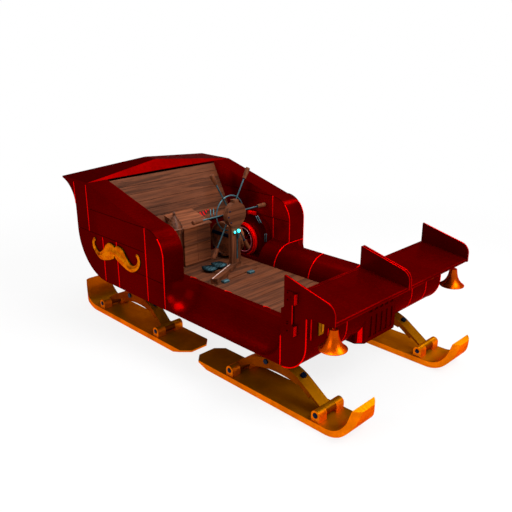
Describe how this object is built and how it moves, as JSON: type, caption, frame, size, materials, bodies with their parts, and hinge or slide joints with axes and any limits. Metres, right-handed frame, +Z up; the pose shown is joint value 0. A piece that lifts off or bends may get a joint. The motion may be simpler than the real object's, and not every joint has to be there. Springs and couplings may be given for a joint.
{
  "type": "sleigh",
  "caption": "Open sleigh with high flared cabin, plank seat back, ship-style helm, hanging bells and spring-arched runner skis.",
  "frame": {"origin": "on the ground, under the middle of the sleigh", "axes": "+X forward towards the trays and bells, +Y to the sleigh's left, +Z up"},
  "size_m": [3.9732, 2.08, 1.617],
  "materials": {
    "red_paint": "gloss",
    "wood": "satin",
    "steel": "satin",
    "gilt": "polished",
    "bell_brass": "polished",
    "runner_brass": "satin",
    "tinted_glass": "gloss",
    "knob": "gloss"
  },
  "bodies": {
    "sleigh": {"cabin_wall_left": "red_paint", "cabin_wall_right": "red_paint", "cabin_back": "red_paint", "crest": "red_paint", "sill_left": "red_paint", "sill_right": "red_paint", "nose_block": "red_paint", "nose_centre": "red_paint", "tray_left": "red_paint", "tray_right": "red_paint", "fins_left": "red_paint", "fins_right": "red_paint", "latch_plates_left": "red_paint", "latch_plates_right": "red_paint", "latch_bar_left": "red_paint", "latch_bar_right": "red_paint", "blower_casing": "red_paint", "floor_pan": "red_paint", "backrest": "wood", "bulkhead": "wood", "floor_boards": "wood", "helm_post": "wood", "helm_head": "wood", "helm_base": "wood", "locker_body": "wood", "locker_lid": "wood", "keg": "wood", "keg_chocks": "wood", "capped_post": "wood", "ski_pins": "steel", "arch_bolts": "steel", "lever": "steel", "base_blocks": "steel", "pedals": "steel", "keg_hoops": "steel", "blower_clips": "steel", "nose_plates": "gilt", "scroll_left": "gilt", "scroll_right": "gilt", "bell_hanger_left": "bell_brass", "bell_hanger_right": "bell_brass", "ski_front_left": "runner_brass", "ski_front_right": "runner_brass", "ski_rear_left": "runner_brass", "ski_rear_right": "runner_brass", "arch_front_left": "runner_brass", "arch_front_right": "runner_brass", "arch_rear_left": "runner_brass", "arch_rear_right": "runner_brass", "blower_ring": "tinted_glass", "lever_knobs": "knob"},
    "helm": {"helm_hub": "wood", "helm_axle": "steel", "helm_wheel": "steel", "helm_grips": "wood"},
    "fan": {"blower_fan": "red_paint"},
    "bell_left": {"bell_left": "bell_brass", "clapper_left": "bell_brass"},
    "bell_right": {"bell_right": "bell_brass", "clapper_right": "bell_brass"}
  },
  "joints": [
    {"name": "helm_turn", "type": "hinge", "parent": "sleigh", "child": "helm", "pos_m": [-0.58362, 0.206, 1.129], "axis": [1, 0, 0], "continuous": true},
    {"name": "fan_spin", "type": "hinge", "parent": "sleigh", "child": "fan", "pos_m": [-0.83462, 0.66, 0.676], "axis": [0, 1, 0], "continuous": true},
    {"name": "bell_swing_left", "type": "hinge", "parent": "sleigh", "child": "bell_left", "pos_m": [1.72338, 0.895, 0.945], "axis": [1, 0, 0], "range_deg": [-30, 30]},
    {"name": "bell_swing_right", "type": "hinge", "parent": "sleigh", "child": "bell_right", "pos_m": [1.72338, -0.895, 0.945], "axis": [1, 0, 0], "range_deg": [-30, 30]}
  ]
}
